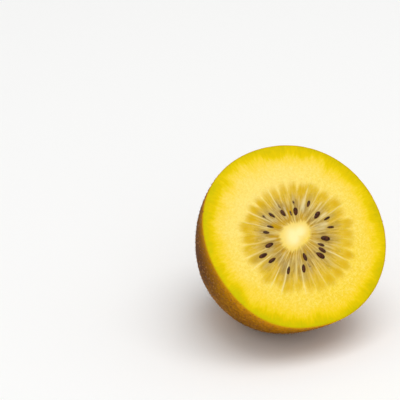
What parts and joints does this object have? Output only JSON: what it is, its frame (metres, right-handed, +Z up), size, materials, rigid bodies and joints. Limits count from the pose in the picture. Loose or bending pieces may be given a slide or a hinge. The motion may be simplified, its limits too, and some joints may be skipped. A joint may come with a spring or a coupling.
{
  "type": "golden kiwi fruit half",
  "caption": "Half of a golden kiwi fruit lying on its brown skin, cut face up and forward: pale core, ring of dark seeds in radiating locules, bright yellow flesh.",
  "frame": {"origin": "middle of the small flat spot that the half rests on", "axes": "+Z up; the cut face looks to -Y and 40 degrees up, the stem end points to +Y and down; +X to the right seen from the cut face"},
  "size_m": [0.0544, 0.0504, 0.0514],
  "materials": {
    "flesh": "moist cut flesh, deep yellow at the rim and paler inside, khaki-gold locules with pale walls, cream core",
    "skin": "thin golden-brown skin, satin, with fine raised specks and sparse short hairs",
    "seed": "smooth purple-brown seeds, glossy where wet with juice",
    "stem_scar": "dry dark brown stalk scar with papery remains round it"
  },
  "bodies": {
    "root": {"golden_kiwi_half": "flesh"}
  },
  "joints": []
}
